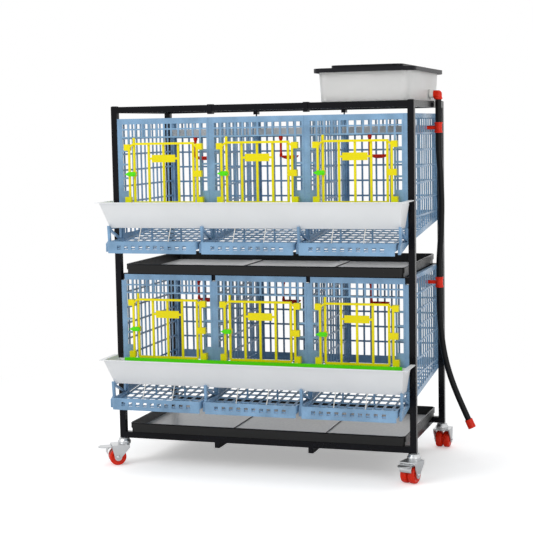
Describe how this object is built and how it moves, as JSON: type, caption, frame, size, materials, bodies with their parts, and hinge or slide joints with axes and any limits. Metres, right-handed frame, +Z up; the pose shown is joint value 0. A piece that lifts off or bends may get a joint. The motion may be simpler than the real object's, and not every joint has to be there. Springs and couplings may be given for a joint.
{
  "type": "poultry cage rack",
  "caption": "Black steel cage rack on casters with blue net cages in tiers, yellow sliding doors, feed troughs, dropping trays and a roof water tank.",
  "frame": {"origin": "on the floor under the middle of the rack's whole box, free hose left out", "axes": "+Z up, +X to the viewer's right, -Y towards the viewer, so the doors face -Y"},
  "size_m": [1.1979, 0.663, 1.293],
  "materials": {
    "black_frame": "gloss",
    "blue_net": "gloss",
    "yellow_door": "gloss",
    "green_trim": "gloss",
    "white_trough": "satin",
    "galvanised": "satin",
    "grey_pipe": "satin",
    "red_plastic": "gloss",
    "frosted_tank": "satin",
    "black_lid": "satin",
    "white_boss": "satin",
    "black_hose": "satin",
    "zinc": "satin"
  },
  "bodies": {
    "rack": {"caster_races": "zinc", "drinkers": "red_plastic", "egg_lips": "blue_net", "free_hose": "black_hose", "hanger_clips": "black_frame", "hose_cap": "red_plastic", "hose_drops": "black_hose", "hose_tees": "red_plastic", "lower_backs": "blue_net", "lower_dividers": "blue_net", "lower_door_guides": "yellow_door", "lower_floors": "blue_net", "lower_fronts": "blue_net", "lower_left_panel": "blue_net", "lower_right_panel": "blue_net", "posts": "black_frame", "tank": "frosted_tank", "tank_elbow": "red_plastic", "tank_outlet": "white_boss", "top_rails": "black_frame", "tray_cross_bars": "black_frame", "tray_rails": "black_frame", "trough_brackets": "blue_net", "upper_backs": "blue_net", "upper_dividers": "blue_net", "upper_door_guides": "yellow_door", "upper_floors": "blue_net", "upper_fronts": "blue_net", "upper_left_panel": "blue_net", "upper_right_panel": "blue_net", "water_pipes": "grey_pipe"},
    "lower_left_door": {"lower_left_door": "yellow_door"},
    "lower_left_latch": {"lower_left_latch": "green_trim"},
    "lower_middle_door": {"lower_middle_door": "yellow_door"},
    "lower_middle_latch": {"lower_middle_latch": "green_trim"},
    "lower_right_door": {"lower_right_door": "yellow_door"},
    "lower_right_latch": {"lower_right_latch": "green_trim"},
    "lower_trough": {"lower_trough": "white_trough", "lower_feed_saver": "green_trim"},
    "lower_tray": {"lower_tray": "galvanised"},
    "upper_left_door": {"upper_left_door": "yellow_door"},
    "upper_left_latch": {"upper_left_latch": "green_trim"},
    "upper_middle_door": {"upper_middle_door": "yellow_door"},
    "upper_middle_latch": {"upper_middle_latch": "green_trim"},
    "upper_right_door": {"upper_right_door": "yellow_door"},
    "upper_right_latch": {"upper_right_latch": "green_trim"},
    "upper_trough": {"upper_trough": "white_trough", "upper_feed_saver": "green_trim"},
    "upper_tray": {"upper_tray": "galvanised"},
    "tank_lid": {"tank_lid": "black_lid"},
    "left_front_fork": {"left_front_fork": "zinc"},
    "left_front_wheels": {"left_front_wheels": "red_plastic"},
    "left_front_pedal": {"left_front_pedal": "zinc"},
    "right_front_fork": {"right_front_fork": "zinc"},
    "right_front_wheels": {"right_front_wheels": "red_plastic"},
    "right_front_pedal": {"right_front_pedal": "zinc"},
    "left_back_fork": {"left_back_fork": "zinc"},
    "left_back_wheels": {"left_back_wheels": "red_plastic"},
    "right_back_fork": {"right_back_fork": "zinc"},
    "right_back_wheels": {"right_back_wheels": "red_plastic"}
  },
  "joints": [
    {"name": "lower_left_door_slide", "type": "slide", "parent": "rack", "child": "lower_left_door", "axis": [0, 0, 1], "range_m": [0, 0.06]},
    {"name": "lower_left_latch_turn", "type": "hinge", "parent": "lower_left_door", "child": "lower_left_latch", "pos_m": [-0.39683, -0.2085, 0.458], "axis": [0, -1, 0], "range_deg": [0, 90]},
    {"name": "lower_middle_door_slide", "type": "slide", "parent": "rack", "child": "lower_middle_door", "axis": [0, 0, 1], "range_m": [0, 0.06]},
    {"name": "lower_middle_latch_turn", "type": "hinge", "parent": "lower_middle_door", "child": "lower_middle_latch", "pos_m": [-0.08017, -0.2085, 0.458], "axis": [0, -1, 0], "range_deg": [0, 90]},
    {"name": "lower_right_door_slide", "type": "slide", "parent": "rack", "child": "lower_right_door", "axis": [0, 0, 1], "range_m": [0, 0.06]},
    {"name": "lower_right_latch_turn", "type": "hinge", "parent": "lower_right_door", "child": "lower_right_latch", "pos_m": [0.2365, -0.2085, 0.458], "axis": [0, -1, 0], "range_deg": [0, 90]},
    {"name": "lower_trough_lift", "type": "slide", "parent": "rack", "child": "lower_trough", "axis": [0, 0, 1], "range_m": [0, 0.06]},
    {"name": "lower_tray_slide", "type": "slide", "parent": "rack", "child": "lower_tray", "axis": [0, -1, 0], "range_m": [0, 0.42]},
    {"name": "upper_left_door_slide", "type": "slide", "parent": "rack", "child": "upper_left_door", "axis": [0, 0, 1], "range_m": [0, 0.06]},
    {"name": "upper_left_latch_turn", "type": "hinge", "parent": "upper_left_door", "child": "upper_left_latch", "pos_m": [-0.39683, -0.2085, 0.963], "axis": [0, -1, 0], "range_deg": [0, 90]},
    {"name": "upper_middle_door_slide", "type": "slide", "parent": "rack", "child": "upper_middle_door", "axis": [0, 0, 1], "range_m": [0, 0.06]},
    {"name": "upper_middle_latch_turn", "type": "hinge", "parent": "upper_middle_door", "child": "upper_middle_latch", "pos_m": [-0.08017, -0.2085, 0.963], "axis": [0, -1, 0], "range_deg": [0, 90]},
    {"name": "upper_right_door_slide", "type": "slide", "parent": "rack", "child": "upper_right_door", "axis": [0, 0, 1], "range_m": [0, 0.06]},
    {"name": "upper_right_latch_turn", "type": "hinge", "parent": "upper_right_door", "child": "upper_right_latch", "pos_m": [0.2365, -0.2085, 0.963], "axis": [0, -1, 0], "range_deg": [0, 90]},
    {"name": "upper_trough_lift", "type": "slide", "parent": "rack", "child": "upper_trough", "axis": [0, 0, 1], "range_m": [0, 0.06]},
    {"name": "upper_tray_slide", "type": "slide", "parent": "rack", "child": "upper_tray", "axis": [0, -1, 0], "range_m": [0, 0.42]},
    {"name": "lid_lift", "type": "slide", "parent": "rack", "child": "tank_lid", "axis": [0, 0, 1], "range_m": [0, 0.12]},
    {"name": "left_front_swivel", "type": "hinge", "parent": "rack", "child": "left_front_fork", "pos_m": [-0.46817, -0.1815, 0.066], "axis": [0, 0, 1], "continuous": true},
    {"name": "left_front_roll", "type": "hinge", "parent": "left_front_fork", "child": "left_front_wheels", "pos_m": [-0.48937, -0.19475, 0.028], "axis": [0.5299, -0.848, 0], "continuous": true},
    {"name": "left_front_brake", "type": "hinge", "parent": "left_front_fork", "child": "left_front_pedal", "pos_m": [-0.50209, -0.2027, 0.0602], "axis": [0.5299, -0.848, 0], "range_deg": [0, 12]},
    {"name": "right_front_swivel", "type": "hinge", "parent": "rack", "child": "right_front_fork", "pos_m": [0.51183, -0.1815, 0.066], "axis": [0, 0, 1], "continuous": true},
    {"name": "right_front_roll", "type": "hinge", "parent": "right_front_fork", "child": "right_front_wheels", "pos_m": [0.50536, -0.20565, 0.028], "axis": [0.9659, -0.2588, 0], "continuous": true},
    {"name": "right_front_brake", "type": "hinge", "parent": "right_front_fork", "child": "right_front_pedal", "pos_m": [0.50148, -0.22014, 0.0602], "axis": [0.9659, -0.2588, 0], "range_deg": [0, 12]},
    {"name": "left_back_swivel", "type": "hinge", "parent": "rack", "child": "left_back_fork", "pos_m": [-0.46817, 0.2785, 0.066], "axis": [0, 0, 1], "continuous": true},
    {"name": "left_back_roll", "type": "hinge", "parent": "left_back_fork", "child": "left_back_wheels", "pos_m": [-0.46817, 0.3035, 0.028], "axis": [-1, 0, 0], "continuous": true},
    {"name": "right_back_swivel", "type": "hinge", "parent": "rack", "child": "right_back_fork", "pos_m": [0.51183, 0.2785, 0.066], "axis": [0, 0, 1], "continuous": true},
    {"name": "right_back_roll", "type": "hinge", "parent": "right_back_fork", "child": "right_back_wheels", "pos_m": [0.51183, 0.3035, 0.028], "axis": [-1, 0, 0], "continuous": true}
  ]
}
